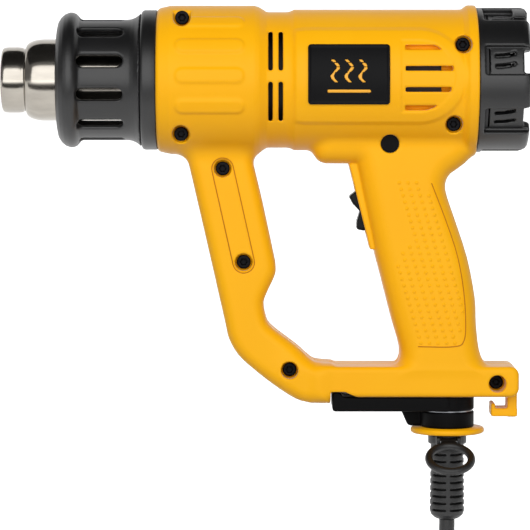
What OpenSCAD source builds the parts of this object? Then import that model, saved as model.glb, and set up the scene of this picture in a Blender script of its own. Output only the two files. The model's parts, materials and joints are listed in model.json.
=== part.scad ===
// Electric heat gun with a hoop handle, a swivelling two-leg stand and a mains cord.
// The origin is the middle of the hand grip. The nozzle points along -X and +Z is up.
// Lengths are in millimetres and angles in degrees.

/* [Barrel] */
// Height of the barrel's axis above the middle of the grip
axis_z = 95.5; // [94:0.5:97]
// Radius of the barrel over the heater
front_r = 38.4; // [37.8:0.1:39]
// Radius of the barrel at the vented neck
neck_r = 35.1; // [34.8:0.1:35.6]
// Radius of the barrel over the fan
rear_r = 36.5; // [36.2:0.1:37]
// Radius of the rim that holds the rear cap
rim_r = 38.6; // [38:0.1:39.2]
// Thickness of the moulded walls
wall = 2.8; // [2.4:0.1:3]

/* [Nozzle] */
// Radius of the tip ring that accessories push onto
tip_r = 17; // [16.8:0.1:17.2]
// Radius of the nozzle tube
nozzle_r = 21.2; // [21:0.1:21.3]
// Thickness of the steel
steel = 1.2; // [1:0.1:1.4]
// Radius of the guard's tube
guard_r = 31.1; // [30.8:0.1:31.6]
// Radius of the guard's front lip
lip_r = 34.9; // [34:0.1:35.5]
// Number of cooling slots round the guard
guard_slots = 11; // [9:1:12]

/* [Rear cap] */
// Radius of the rear cap
cap_r = 37.3; // [36.8:0.1:37.8]
// Number of lugs and intake windows
cap_lugs = 7; // [6:1:8]

/* [Handle] */
// Width of the front bar
bar_w = 29; // [26:1:32]
// Width of the hand grip
grip_w = 38; // [36:1:40]
// Width of the base
base_w = 37; // [35:1:37]
// Height of the base's upper face
base_top = -52; // [-52.5:0.5:-51]
// Height of the base's lower face
base_bottom = -67.8; // [-68:0.1:-67.6]

/* [Stand] */
// Distance of the stand's pivot behind the grip's middle
pivot_x = 13.5; // [13:0.1:14]
// Radius of the leg hubs
hub_r = 13.8; // [13:0.1:14.2]
// Radius of the retaining disc
disc_r = 19.2; // [18:0.1:20]
// Width of one leg
leg_w = 13.5; // [11:0.5:13.5]

/* [Cord] */
// Diameter of the mains cord
cord_d = 8.1; // [8:0.1:8.2]
// Turns that lie side by side in the put-away coil
coil_columns = 4; // [4:1:4]

/* [Hidden] */
$fn = 96;

// Stations along the barrel, front to back
tip_x = -217.4;
dome_x = -206;
guard_x = -188.7;
collar_x = -145.2;
front_x = -137.2;
neck_x = -80;
step_x = -67;
rim_x = 22.4;
cap_x = 27;
cap_end = 50.4;
lug_end = 53.4;

// Outlines of the handle seen from the side, as [x, z] pairs
bar_front = [[-125, 68], [-121.4, 54], [-111.8, 12.5], [-102.4, -29], [-100.3, -38],
             [-95.5, -46.5], [-87.5, -54], [-77.5, -61.8], [-66, -69], [-58, -71.2]];
bar_back = [[-52, -51.6], [-57.7, -48.9], [-65.5, -41.9], [-78.2, -32.2], [-81.2, -26.9],
            [-82.3, -20.5], [-81.6, -16.6], [-78.8, -10.4], [-76.3, -4.6], [-76.1, 0],
            [-77.2, 6], [-83, 33], [-88, 54], [-91, 68]];
bar_outline = concat(curve(bar_front, 3), [[-47.8, -71.2], [-47.8, base_top - 0.4]],
                     curve(bar_back, 3));
grip_front = [[-24.6, 5], [-20.9, -9], [-15.9, -28.5], [-11.6, -44], [-13, -50]];
grip_back = [[32, -50], [29, -40], [27, -17], [22.9, 4], [16, 25],
             [11.5, 39], [13, 46], [18, 50], [23, 54.2], [25.6, 58], [25.6, 68]];
grip_outline = concat([[-58, 68], [-57, 60], [-55.4, 55.4], [-51.8, 52.6], [-38.4, 52.4],
                       [-27.3, 8.2], [-24.9, 6.6]],
                      curve(grip_front, 3), [[-13.5, -57], [32, -57]], curve(grip_back, 3));
corner = 3.4;
base_end = 49.6;
base_outline = [[-54, base_top], [-54, base_bottom], [base_end - corner, base_bottom],
                [base_end, base_bottom + corner], [base_end, base_top - corner],
                [base_end - corner, base_top]];
hook_outline = [[44.2, base_bottom + 2], [44.2, -74.6], [37.8, -74.6], [37.8, -72],
                [35.7, -72], [36.1, -78.8], [48.2, -78.8], [49.2, -77.7], [49.2, base_bottom + 2]];
hook_w = 16;
edge = 3;

// Body screws as [x, z, distance of the head's seat from the parting plane]
screws = [[-124, 127.3, 15], [-124.5, 68, 19], [-103.4, 50, 9], [-92.6, 1.8, 9],
          [-68.9, -54, 9], [19, 113.5, 24], [14.7, 73, 21], [38.2, -60.8, 6]];
boss_r = 5.8;
well_r = 4.6;
head_r = 3.6;
head_h = 2.4;
shank_r = 1.9;
shank_l = 17;
plug_x = -17.6;
plug_z = 63;
plug_r = 4.6;

// Rocker switch, tilted with the grip's front edge
switch_x = -32.6;
switch_z = 27.7;
switch_tilt = -13.3;
rocker_pivot = 4.5;
rocker_w = 13;
pin_r = 1.2;
running = 0.05;

// Stand and strain relief levels
leg_top = -68.1;
leg_h = 7.5;
lower_top = -76.4;
lower_h = 8.3;
leg_tip = -46.8;
tip_top = -65.4;
leg_gap = 1;
disc_top = -84.9;
disc_h = 2.9;
sleeve_r = 9;
sleeve_top = -63.5;
relief_top = -62;
relief_end = -133;
ring_y = -12;
ring_z = -92.5;
ring_tilt = 29;
ring_mean_r = 10.9;
ring_section_r = 2;
ring_reach = 14.8;

// Put-away coil and the two free stretches of the cord
coil_z = -228.3;
coil_inner = 38.9;
coil_outer = 55.2;
coil_w = coil_columns * 8.15;
lead_route = [[13.5, 0, -133], [13.5, 0, -136.5], [13.5, 0, -140], [14.3, -0.9, -148.9],
              [16.6, -3.2, -157.4], [20.3, -6.1, -165.5], [25.4, -9.1, -172.8],
              [31.7, -11.3, -179.1], [39, -12.2, -184.2]];
tail_route = [[56.5, -19.5, -228.3], [56.5, -20.2, -236], [56.5, -20.4, -244],
              [56.5, -20.4, -252], [56.5, -20.4, -260], [56.5, -20.4, -268],
              [56.5, -20.4, -276]];
plug_at = [56.5, -20.4, -276];
plug_l = 42;
plug_pin_gap = 19;
plug_pin_r = 2.4;
plug_pin_l = 19;
wire_r = 1.1;

function unit(v) = v / norm(v);

// Catmull-Rom curve through points, with n steps on each span
function curve(p, n) = concat([for (i = [0:len(p) - 2], k = [0:n - 1])
    let (t = k / n, b = p[i], c = p[i + 1], a = i > 0 ? p[i - 1] : 2 * b - c,
         d = i < len(p) - 2 ? p[i + 2] : 2 * c - b)
    0.5 * (2 * b + (c - a) * t + (2 * a - 5 * b + 4 * c - d) * t * t
    + (3 * b - a - 3 * c + d) * t * t * t)], [p[len(p) - 1]]);

// A closed outline moved inwards by d, its points running anticlockwise
function inset(p, d) = [for (i = [0:len(p) - 1])
    let (b = p[i], u = unit(b - p[(i + len(p) - 1) % len(p)]), v = unit(p[(i + 1) % len(p)] - b),
         n = unit([-u[1] - v[1], u[0] + v[0]]))
    b + n * d / max(0.6, n * [-v[1], v[0]])];

// A quarter ellipse from [r0, x0] to [r1, x1], steepest at its start
function quarter(r0, x0, r1, x1, n) = [for (k = [0:n])
    [r0 + (r1 - r0) * sin(90 * k / n), x0 + (x1 - x0) * (1 - cos(90 * k / n))]];

// A stadium outline of length l and width w, centred on the origin, long way along x
function stadium(l, w) = [for (s = [1, -1], k = [0:6])
    let (a = -90 + 30 * k) [s * (l / 2 - w / 2 + w / 2 * cos(a)), s * w / 2 * sin(a)]];

// A ring sector outline between radii r0 and r1, half angle h either side of angle a
function sector(r0, r1, a, h) = concat(
    [for (k = [-2:2]) r0 * [cos(a + h * k / 2), sin(a + h * k / 2)]],
    [for (k = [2:-1:-2]) r1 * [cos(a + h * k / 2), sin(a + h * k / 2)]]);

module turned_x(profile) {
    translate([0, 0, axis_z]) rotate([0, 90, 0]) rotate_extrude() polygon(profile);
}
module rod_x(x, length, r) {
    translate([x, 0, axis_z]) rotate([0, 90, 0]) cylinder(h = length, r = r);
}
module rod_y(x, z, y, length, r) {
    translate([x, y, z]) rotate([-90, 0, 0]) cylinder(h = length, r = r);
}
module side_plate(outline, y, width) {
    translate([0, y + width, 0]) rotate([90, 0, 0]) linear_extrude(width) polygon(outline);
}
// A bar of the given outline and width, with its side edges stepped in by a rounding's worth
module rounded_plate(outline, width) {
    side_plate(outline, -width / 2 + edge, width - 2 * edge);
    side_plate(inset(outline, 1.5), -width / 2, width);
}
module block(low, high) {
    translate(low) cube(high - low);
}

// ---- Body shells ----
module shell_outer() {
    turned_x([[0, front_x], [36.1, front_x], [37.6, front_x + 2.3], [front_r, front_x + 8],
              [front_r, neck_x - 2], [neck_r, neck_x], [neck_r, step_x], [rear_r, step_x + 1],
              [rear_r, rim_x - 1.4], [rim_r, rim_x], [rim_r, cap_x], [0, cap_x]]);
    rounded_plate(bar_outline, bar_w);
    rounded_plate(grip_outline, grip_w);
    rounded_plate(base_outline, base_w);
    side_plate(hook_outline, -hook_w / 2, hook_w);
}
module shell_hollow() {
    turned_x([[0, front_x - 1], [31, front_x - 1], [31, front_x + wall], [front_r - wall, front_x + 8],
              [front_r - wall, neck_x - 4], [neck_r - wall, neck_x - 2],
              [neck_r - wall, step_x + 2], [rear_r - wall, step_x + 3],
              [rear_r - wall, cap_x + 1], [0, cap_x + 1]]);
    side_plate(inset(bar_outline, wall), -bar_w / 2 + wall, bar_w - 2 * wall);
    side_plate(inset(grip_outline, wall), -grip_w / 2 + wall, grip_w - 2 * wall);
    side_plate(inset(base_outline, wall), -base_w / 2 + wall, base_w - 2 * wall);
}
module screw_bosses() {
    for (s = screws) rod_y(s[0], s[1], -40, 80, boss_r);
    rod_y(plug_x, plug_z, -grip_w / 2, 5.5, boss_r);
    rod_y(plug_x, plug_z, grip_w / 2 - 5.5, 5.5, boss_r);
}
module vents() {
    for (x = [-78.8, -73.6], z = [axis_z + 15, axis_z - 11])
        block([x - 1.1, -60, z - 10], [x + 1.1, 60, z + 10]);
    vent_rows = [[-10.4, 5.4, 112], [-10.4, 13.3, 101.4], [-10.4, 11.8, 90.7], [-10.4, -1, 81.4]];
    for (v = vent_rows) block([v[0], -60, v[2] - 1.2], [v[1], 60, v[2] + 1.2]);
}
module shell() {
    difference() {
        shell_outer();
        difference() {
            shell_hollow();
            intersection() {
                screw_bosses();
                shell_outer();
            }
        }
        for (s = screws) {
            rod_y(s[0], s[1], -60, 60 - s[2], well_r);
            rod_y(s[0], s[1], s[2], 60, well_r);
            rod_y(s[0], s[1], -30, 60, shank_r + 0.1);
        }
        // The front top wells run out through the barrel's top
        top = screws[0];
        for (y = [-60, top[2]]) translate([top[0] - well_r, y, top[1]])
            cube([2 * well_r, 60 - top[2], 20]);
        rod_y(plug_x, plug_z, -60, 60 - grip_w / 2 + 3.5, plug_r + 0.1);
        rod_y(plug_x, plug_z, grip_w / 2 - 3.5, 60, plug_r + 0.1);
        vents();
        // Mouth of the rocker switch
        at_switch() block([-5, -8.9, -12.9], [12, 8.9, 12.9]);
        // Recess that the legs' tips swing through, and the pivot sleeve's seat
        side_plate([[-47.7, base_bottom - 1], [-47.7, tip_top + 0.4], [-40, tip_top + 0.4],
                    [-34.4, base_bottom], [-34.4, base_bottom - 1]], -30, 60);
        translate([pivot_x, 0, base_bottom - 1]) cylinder(h = 6, r = sleeve_r + 0.02);
    }
}
module half_space(side) {
    translate([-160, side < 0 ? -60 : 0, -100]) cube([230, 60, 260]);
}
module housing_left() {
    color("#FDB91A") intersection() {
        shell();
        half_space(-1);
    }
}
module housing_right() {
    color("#FDB91A") intersection() {
        shell();
        half_space(1);
    }
}
module front_collar() {
    color("#1C1C1E") turned_x([[24, collar_x], [34.8, collar_x], [36.1, -143.8], [36.1, front_x],
                               [30.8, front_x], [30.8, -133], [24, -133]]);
}

// ---- Rear cap ----
module rear_cap() {
    pitch = 360 / cap_lugs;
    color("#1C1C1E") difference() {
        turned_x([[0, lug_end], [0, 47.6], [cap_r - 3, 47.6], [cap_r - 3, cap_x], [cap_r, cap_x],
                  [cap_r, lug_end]]);
        // Hollow of the back face between the lugs, and the air hole in the middle
        rod_x(cap_end, 10, 28);
        rod_x(40, 20, 17);
        for (i = [0:cap_lugs - 1]) translate([0, 0, axis_z]) rotate([-106.5 - pitch * i, 0, 0])
            rotate([0, 90, 0]) {
                translate([0, 0, cap_end]) linear_extrude(10) polygon(sector(20, 50, 0, 9));
                for (x = [35, 42.5]) translate([0, 0, x]) linear_extrude(4.6)
                    polygon(sector(30, 50, 0, 11.5));
            }
    }
}
module intake_screen() {
    color("#2B2B2E") difference() {
        rod_x(30.5, 1.4, 34);
        rod_x(29, 5, 6);
        for (i = [0:15], k = [12, 21]) translate([0, 0, axis_z]) rotate([360 / 16 * i, 0, 0])
            translate([29, -1.6, k]) cube([5, 3.2, 7]);
    }
}

// ---- Nozzle and guard ----
module nozzle() {
    outer = concat([[tip_r - 1.3, tip_x], [tip_r - 0.4, tip_x + 0.4], [tip_r, tip_x + 1.2],
                    [tip_r, dome_x - 0.6], [tip_r - 0.5, dome_x - 0.4], [tip_r - 0.5, dome_x]],
                   quarter(tip_r, dome_x, nozzle_r, -190, 8));
    inner = [[nozzle_r - steel, -190], [nozzle_r - steel - 1, -199], [tip_r - steel, dome_x + 1],
             [tip_r - steel - 0.5, dome_x - 2], [tip_r - steel - 0.5, tip_x + 1]];
    color("#B9B4AC") turned_x(concat(outer, [[nozzle_r, -132.8], [28, -132.8], [28, -131.4],
                                             [nozzle_r - steel, -131.4]], inner));
}
module nozzle_guard() {
    inner_r = 28.5;
    hole_r = nozzle_r + 0.4;
    slot_l = 24;
    slot_w = 7.3;
    lip_front = quarter(27.4, guard_x, lip_r, -182.3, 6);
    color("#1C1C1E") difference() {
        turned_x(concat([[hole_r, guard_x]], lip_front,
                        [[33.8, -178.4], [guard_r, -176.8], [guard_r, -151.5], [33, -147.3],
                         [34.6, collar_x - 0.2], [inner_r, collar_x - 0.2], [inner_r, -180],
                         [hole_r, -184]]));
        for (i = [0:guard_slots - 1]) translate([0, 0, axis_z])
            rotate([71 - 360 / guard_slots * i, 0, 0]) translate([-166, 0, 24])
                linear_extrude(16) polygon(stadium(slot_l, slot_w));
    }
}

// ---- Nameplates, screws and plugs ----
module nameplate(side) {
    color("#1C1C1E") intersection() {
        turned_x([[rear_r, -62], [rear_r + 0.9, -62], [rear_r + 0.9, -15], [rear_r, -15]]);
        difference() {
            block([-59.8, side < 0 ? -40 : 1, 83.6], [-18.4, side < 0 ? -1 : 40, 113.7]);
            for (x = [-60.8, -17.4], z = [82.6, 114.7])
                translate([x, 0, z]) rotate([0, 45, 0]) cube([4.2, 90, 4.2], center = true);
        }
    }
}
module nameplate_left() { nameplate(-1); }
module nameplate_right() { nameplate(1); }
module housing_screws() {
    color("#202022") for (s = screws) {
        difference() {
            rod_y(s[0], s[1], -s[2] - head_h, head_h, head_r);
            rod_y(s[0], s[1], -s[2] - head_h - 1, 2.2, 1.3);
        }
        rod_y(s[0], s[1], -s[2], shank_l, shank_r);
    }
}
module boss_plugs() {
    color("#202022") for (y = [-grip_w / 2 - 0.3, grip_w / 2 - 3.5])
        rod_y(plug_x, plug_z, y, 3.8, plug_r);
}

// ---- Switch ----
module at_switch() {
    translate([switch_x, 0, switch_z]) rotate([0, switch_tilt, 0]) children();
}
module switch_body() {
    color("#232325") at_switch() difference() {
        block([0.8, -8.7, -12.7], [24, 8.7, 12.7]);
        block([-1, -rocker_w / 2 - 0.3, -11.5], [10.5, rocker_w / 2 + 0.3, 11.5]);
        translate([rocker_pivot, -8, 0]) rotate([-90, 0, 0]) cylinder(h = 16, r = pin_r + running);
    }
}
module switch_rocker() {
    color("#161617") at_switch() {
        side_plate([[0, 0], [-2.6, 4.6], [-3.4, 8.6], [-0.2, 10.3], [3, 9.2], [7, 4.5],
                    [7, -4.5], [3, -9.2], [-0.2, -10.3], [-3.4, -8.6], [-2.6, -4.6]],
                   -rocker_w / 2, rocker_w);
        translate([rocker_pivot, -7.9, 0]) rotate([-90, 0, 0]) cylinder(h = 15.8, r = pin_r);
    }
}
module switch_terminals() {
    color("#B08D46") at_switch() for (z = [-8, 0, 8])
        block([24, -3.2, z - 0.4], [31, 3.2, z + 0.4]);
}

// ---- Stand ----
module hub(top, height) {
    translate([pivot_x, 0, top - height]) cylinder(h = height, r = hub_r);
}
module hub_bore() {
    translate([pivot_x, 0, -95]) cylinder(h = 40, r = sleeve_r + running);
}
module stand_leg_left() {
    low = leg_top - leg_h;
    arm = [[leg_tip + 3.5, low], [pivot_x, low], [pivot_x, leg_top], [-41.2, leg_top],
           [-42.8, tip_top], [leg_tip, tip_top], [leg_tip, low + 3.5], [leg_tip + 1, low + 1]];
    color("#1C1C1E") difference() {
        union() {
            hub(leg_top, leg_h);
            side_plate(arm, -leg_gap - leg_w, leg_w);
        }
        hub_bore();
    }
}
module stand_leg_right() {
    low = leg_top - leg_h;
    lower_bottom = lower_top - lower_h;
    arm = [[leg_tip + 3.5, low], [-11, low], [-7, lower_bottom], [pivot_x, lower_bottom],
           [pivot_x, lower_top], [-4, lower_top], [-7.5, leg_top], [-41.2, leg_top],
           [-42.8, tip_top], [leg_tip, tip_top], [leg_tip, low + 3.5], [leg_tip + 1, low + 1]];
    color("#1C1C1E") difference() {
        union() {
            hub(lower_top, lower_h);
            side_plate(arm, leg_gap, leg_w);
        }
        hub_bore();
    }
}
module retaining_disc() {
    color("#FDB91A") difference() {
        union() {
            translate([pivot_x, 0, disc_top - disc_h]) cylinder(h = disc_h, r = disc_r);
            translate([pivot_x, 0, disc_top - 1]) cylinder(h = sleeve_top - disc_top + 1, r = sleeve_r);
        }
        translate([pivot_x, 0, -95]) cylinder(h = 40, r = 7.2);
    }
}
module wave_washer() {
    color("#A8A8AA") difference() {
        translate([pivot_x, 0, lower_top + 0.15]) cylinder(h = 0.5, r = 13);
        translate([pivot_x, 0, lower_top - 1]) cylinder(h = 3, r = sleeve_r + 0.3);
    }
}

// ---- Strain relief and hang ring ----
module strain_relief() {
    bore = cord_d / 2 + 0.05;
    rib_pitch = 3.65;
    ribs = [for (i = [0:8], s = [[8.8, 0], [8.8, 1.9], [6.6, 2.1], [6.6, 3.5]])
        [s[0], -96 - rib_pitch * i - s[1]]];
    color("#19191A") translate([pivot_x, 0, 0]) rotate_extrude() polygon(concat(
        [[bore, relief_top], [7, relief_top], [7, -87.9], [8.6, -87.9], [8.6, -94]], ribs,
        [[8.9, -129], [8, -131.5], [5.4, relief_end], [bore, relief_end]]));
}
module ring_collar() {
    ear = 2;
    color("#19191A") difference() {
        union() {
            translate([pivot_x, 0, -93.6]) cylinder(h = 4.9, r = 10);
            for (x = [-4.3 - ear, 4.3]) translate([pivot_x + x, ring_y - 1.5, ring_z - 0.8])
                cube([ear, 7, 4.6]);
        }
        translate([pivot_x, 0, -95]) cylinder(h = 8, r = 8.65);
        translate([pivot_x - 10, ring_y, ring_z + 1]) rotate([0, 90, 0]) cylinder(h = 20, r = 0.95);
    }
}
module ring_pin() {
    color("#8C8C8E") translate([pivot_x - 6.2, ring_y, ring_z + 1]) rotate([0, 90, 0])
        cylinder(h = 12.4, r = 0.95);
}
module hang_ring() {
    color("#19191A") translate([pivot_x, ring_y, ring_z + 1]) difference() {
        rotate([ring_tilt, 0, 0]) {
            translate([0, -ring_reach, 0]) rotate_extrude()
                translate([ring_mean_r, 0]) circle(r = ring_section_r);
            translate([-3.6, -ring_reach + ring_mean_r, -1.5]) cube([7.2, 3.4, 3]);
            translate([-4, 0, 0]) rotate([0, 90, 0]) cylinder(h = 8, r = 1.9);
        }
        translate([-10, 0, 0]) rotate([0, 90, 0]) cylinder(h = 20, r = 0.95 + running);
    }
}

// ---- Heater ----
module mica_sleeve() {
    color("#C9B48A") turned_x([[18.4, -196], [19.4, -196], [19.4, -101.2], [18.4, -101.2]]);
}
module heater_core() {
    core_w = 3.2;
    color("#E8E2D4") {
        rod_x(-192, 88, 3.6);
        for (a = [0, 90]) translate([-192, 0, axis_z]) rotate([a, 0, 0])
            translate([0, -15, -core_w / 2]) cube([88, 30, core_w]);
    }
}
module heating_coils() {
    color("#8A8178") for (i = [0:9])
        turned_x([for (k = [0:7]) [16.5 + 1.2 * cos(45 * k), -188 + 8.4 * i + 1.2 * sin(45 * k)]]);
}
module heater_flange() {
    color("#C8C4BA") turned_x([[15.6, -104], [18.2, -104], [18.2, -101], [31, -101],
                               [31, -98], [15.6, -98]]);
}
module thermal_cutout() {
    color("#B5B5B8") {
        rod_y(-93, axis_z + 27.6, -6, 6, 4);
        block([-97.6, -7.8, axis_z + 26], [-91, -6.2, axis_z + 29]);
    }
}

// ---- Motor and fan ----
module air_duct() {
    color("#3A3A3E") turned_x([[17.5, -97.8], [27.8, -66], [27.4, 8], [28.7, 8], [28.9, -64],
                               [19.5, -97.8]]);
}
module motor_can() {
    color("#9A9CA0") difference() {
        turned_x([[0, -58], [5, -58], [5, -60], [9, -60], [9, -58], [14, -58], [14, -27],
                  [8, -27], [8, -25], [0, -25]]);
        rod_x(-70, 60, 3.4);
    }
}
module motor_bushes() {
    color("#A8894A") for (x = [-59, -29]) difference() {
        rod_x(x, 4, 3.4);
        rod_x(x - 1, 6, 1.5 + running);
    }
}
module motor_shaft() {
    color("#C4C6CA") rod_x(-60, 53, 1.5);
}
module motor_mount() {
    color("#3A3A3E") difference() {
        union() {
            rod_x(-44, 6, 16.5);
            for (i = [0:2]) translate([-44, 0, axis_z]) rotate([90 + 120 * i, 0, 0])
                translate([0, 12, -2]) cube([6, 15, 4]);
        }
        rod_x(-45, 8, 14.05);
    }
}
module fan_impeller() {
    blades = 9;
    color("#2B2B2E") difference() {
        union() {
            rod_x(-20, 14, 7);
            rod_x(-20, 1.6, 26);
            for (i = [0:blades - 1]) translate([-18.6, 0, axis_z])
                rotate([360 / blades * i, 0, 0]) translate([0, -0.8, 6]) cube([12, 1.6, 20]);
        }
        rod_x(-30, 30, 1.5);
    }
}

// ---- Electrics in the grip and base ----
module control_board() {
    color("#2E6B3C") block([-7, -8, -40], [17, -6.4, -8]);
}
module capacitor() {
    color("#3D5A8C") rod_y(5, -20, -6.4, 12, 5);
}
module terminal_block() {
    color("#E6E2D6") difference() {
        block([2, -8, -47], [24, 6, -42]);
        for (x = [8, 18]) translate([x, -1, -44]) cylinder(h = 5, r = 1.6);
    }
}
module inner_wires() {
    color("#A33B32") {
        tube([[-2, 5, 12], [3, 7, 0], [6, 8, -20], [8, 5, -32], [8, 4, -41]], wire_r);
        tube([[-1, 5, 26], [3, 6, 36], [5, 6, 48], [2, 6, 60]], wire_r);
    }
}
module inner_cable() {
    color("#19191A") translate([pivot_x, 0, relief_end]) cylinder(h = 77.8, r = cord_d / 2);
}
module cord_clamp() {
    color("#2B2B2E") difference() {
        block([pivot_x - 5, 4.2, -60.6], [pivot_x + 5, 9.5, -55.2]);
        rod_y(pivot_x, -57.9, 0, 20, 1.3);
    }
}
module clamp_screws() {
    color("#8C8C8E") {
        rod_y(pivot_x, -57.9, 6, 3.6, 1.3);
        rod_y(pivot_x, -57.9, 9.5, 1.4, 2.4);
    }
}

// ---- Free cord, its coil, tie and plug ----
// A tube of radius r swept along a route, with a ring square to the route at each point
function heading(p, i) = unit(p[min(i + 1, len(p) - 1)] - p[max(i - 1, 0)]);
function ring_at(p, i, r, sides) = let (t = heading(p, i), u = unit(cross(t, [0, 1, 0])), v = cross(t, u))
    [for (k = [0:sides - 1]) p[i] + r * (u * cos(360 * k / sides) + v * sin(360 * k / sides))];
module tube(p, r) {
    sides = 12;
    last = len(p) - 1;
    polyhedron(points = [for (i = [0:last]) each ring_at(p, i, r, sides)],
               faces = concat([[for (k = [0:sides - 1]) k]],
                              [for (i = [0:last - 1], k = [0:sides - 1])
                                  [i * sides + k, (i + 1) * sides + k,
                                   (i + 1) * sides + (k + 1) % sides, i * sides + (k + 1) % sides]],
                              [[for (k = [sides - 1:-1:0]) last * sides + k]]));
}
module cord_lead() {
    color("#19191A") tube(lead_route, cord_d / 2);
}
module cord_tail() {
    color("#19191A") tube(tail_route, cord_d / 2);
}
module cord_coil() {
    color("#19191A") translate([pivot_x, coil_w / 2, coil_z]) rotate([90, 0, 0])
        rotate_extrude() translate([coil_inner, 0]) square([coil_outer - coil_inner, coil_w]);
}
module cord_tie() {
    gap = 0.2;
    thick = 1.2;
    half = coil_w / 2 + gap;
    color("#303033") difference() {
        block([pivot_x - 6, -half - thick, coil_z + coil_inner - 0.6 - thick],
              [pivot_x + 6, half + thick, coil_z + coil_outer + gap + thick]);
        block([pivot_x - 7, -half, coil_z + coil_inner - 0.6],
              [pivot_x + 7, half, coil_z + coil_outer + gap]);
    }
}
module plug_body() {
    color("#19191A") translate(plug_at) difference() {
        rotate_extrude() polygon([[0, 0], [5.6, 0], [7, -3], [8.5, -12], [13, -24], [17.5, -28],
                                  [17.5, -plug_l + 1.5], [16, -plug_l], [0, -plug_l]]);
        for (x = [-1, 1]) translate([x * plug_pin_gap / 2, 0, -plug_l - 1])
            cylinder(h = 9, r = plug_pin_r);
    }
}
module plug_pins() {
    color("#C9CBCF") for (x = [-1, 1])
        translate(plug_at + [x * plug_pin_gap / 2, 0, -plug_l - plug_pin_l])
            rotate_extrude() polygon([[0, 0], [1.5, 0], [plug_pin_r, 1.4],
                                      [plug_pin_r, plug_pin_l + 8], [0, plug_pin_l + 8]]);
}

housing_left();
housing_right();
front_collar();
rear_cap();
intake_screen();
nozzle();
nozzle_guard();
nameplate_left();
nameplate_right();
housing_screws();
boss_plugs();
switch_body();
switch_rocker();
switch_terminals();
stand_leg_left();
stand_leg_right();
retaining_disc();
wave_washer();
strain_relief();
ring_collar();
ring_pin();
hang_ring();
mica_sleeve();
heater_core();
heating_coils();
heater_flange();
thermal_cutout();
air_duct();
motor_can();
motor_shaft();
motor_bushes();
motor_mount();
fan_impeller();
control_board();
capacitor();
terminal_block();
inner_wires();
inner_cable();
cord_clamp();
clamp_screws();
cord_lead();
cord_coil();
cord_tail();
cord_tie();
plug_body();
plug_pins();
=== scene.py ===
"""Heat gun: steel nozzle, slotted guard, hoop-handled yellow shells, swivel stand and a coiled mains cord.

Shapes are worked out in millimetres with numpy and stored in metres. The barrel runs along X.
"""
import json
import math

import bmesh
import bpy
import numpy as np
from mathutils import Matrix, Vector


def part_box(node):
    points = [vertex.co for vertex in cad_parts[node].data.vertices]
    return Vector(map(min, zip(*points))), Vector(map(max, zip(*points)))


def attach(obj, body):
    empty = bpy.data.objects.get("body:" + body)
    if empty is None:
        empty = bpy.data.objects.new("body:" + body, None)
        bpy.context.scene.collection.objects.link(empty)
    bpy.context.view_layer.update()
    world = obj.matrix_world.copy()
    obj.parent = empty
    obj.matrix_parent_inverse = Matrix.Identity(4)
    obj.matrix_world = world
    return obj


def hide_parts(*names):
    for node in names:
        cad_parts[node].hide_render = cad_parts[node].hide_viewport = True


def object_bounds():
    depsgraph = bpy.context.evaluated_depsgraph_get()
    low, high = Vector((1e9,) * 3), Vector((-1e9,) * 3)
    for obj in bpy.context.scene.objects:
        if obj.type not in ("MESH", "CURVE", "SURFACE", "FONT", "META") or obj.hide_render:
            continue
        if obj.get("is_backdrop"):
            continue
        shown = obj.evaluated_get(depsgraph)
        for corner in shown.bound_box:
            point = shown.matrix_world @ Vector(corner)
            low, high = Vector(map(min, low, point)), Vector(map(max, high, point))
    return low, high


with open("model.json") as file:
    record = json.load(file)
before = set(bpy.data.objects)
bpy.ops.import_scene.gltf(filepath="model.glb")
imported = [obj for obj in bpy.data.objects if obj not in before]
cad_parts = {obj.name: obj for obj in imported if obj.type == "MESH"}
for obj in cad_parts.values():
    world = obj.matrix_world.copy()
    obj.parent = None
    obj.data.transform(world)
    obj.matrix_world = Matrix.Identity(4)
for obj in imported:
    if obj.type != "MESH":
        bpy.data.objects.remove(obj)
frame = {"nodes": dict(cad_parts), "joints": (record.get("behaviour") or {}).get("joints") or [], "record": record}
cad_low, cad_high = (np.array(corner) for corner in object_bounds())

MM = 0.001


def node_box(name):
    """A CAD node's lowest and highest corners in millimetres."""
    low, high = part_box(name)
    return np.array(low) / MM, np.array(high) / MM


def mount(name):
    """A mount's place in millimetres."""
    return np.array([m for m in frame["record"]["mounts"] if m["name"] == name][0]["pos_m"]) / MM


def joint(name):
    """The pivot of a joint in millimetres."""
    return np.array([j for j in frame["joints"] if j["name"] == name][0]["pos_m"]) / MM


# The tool's left is at -Y and its right at +Y
SIDES = (("left", -1), ("right", 1))

# Driving places, read from the frame
AXIS_Z = mount("nozzle")[2]
FRONT_X, REAR_X = node_box("housing_left")[0][0], node_box("rear_cap")[0][0]
LUG_X = node_box("rear_cap")[1][0]
TIP_X = node_box("nozzle")[0][0]
GUARD_X = node_box("nozzle_guard")[0][0]
GUARD_END = node_box("nozzle_guard")[1][0]
COLLAR_X = node_box("front_collar")[0][0]
PIVOT_X = joint("leg_left_swing")[0]
SWITCH = joint("rocker_tilt")
RING_PIN = joint("ring_swing")
LEG_LOW, LEG_HIGH = node_box("stand_leg_left")
RELIEF_LOW, RELIEF_HIGH = node_box("strain_relief")
BASE_BOTTOM = LEG_HIGH[2] - 2.4
BASE_TOP = BASE_BOTTOM + 15.8


# ---- Camera, light and ground ----
def camera():
    """A long lens at the barrel's height, tipped down a little so that the whole tool is in the frame."""
    middle_x, middle_z, distance, frame_width = -0.0816, -0.0005, 1.5, 0.2756
    place = Vector((middle_x, -distance, AXIS_Z * MM))
    aim = Vector((middle_x, 0, middle_z))
    data = bpy.data.cameras.new("camera")
    data.lens = data.sensor_width * (aim - place).length / frame_width
    data.clip_end = 20
    seen_by = bpy.data.objects.new("camera", data)
    seen_by.location = place
    seen_by.rotation_euler = (aim - place).to_track_quat("-Z", "Y").to_euler()
    bpy.context.scene.collection.objects.link(seen_by)
    bpy.context.scene.camera = seen_by


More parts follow.
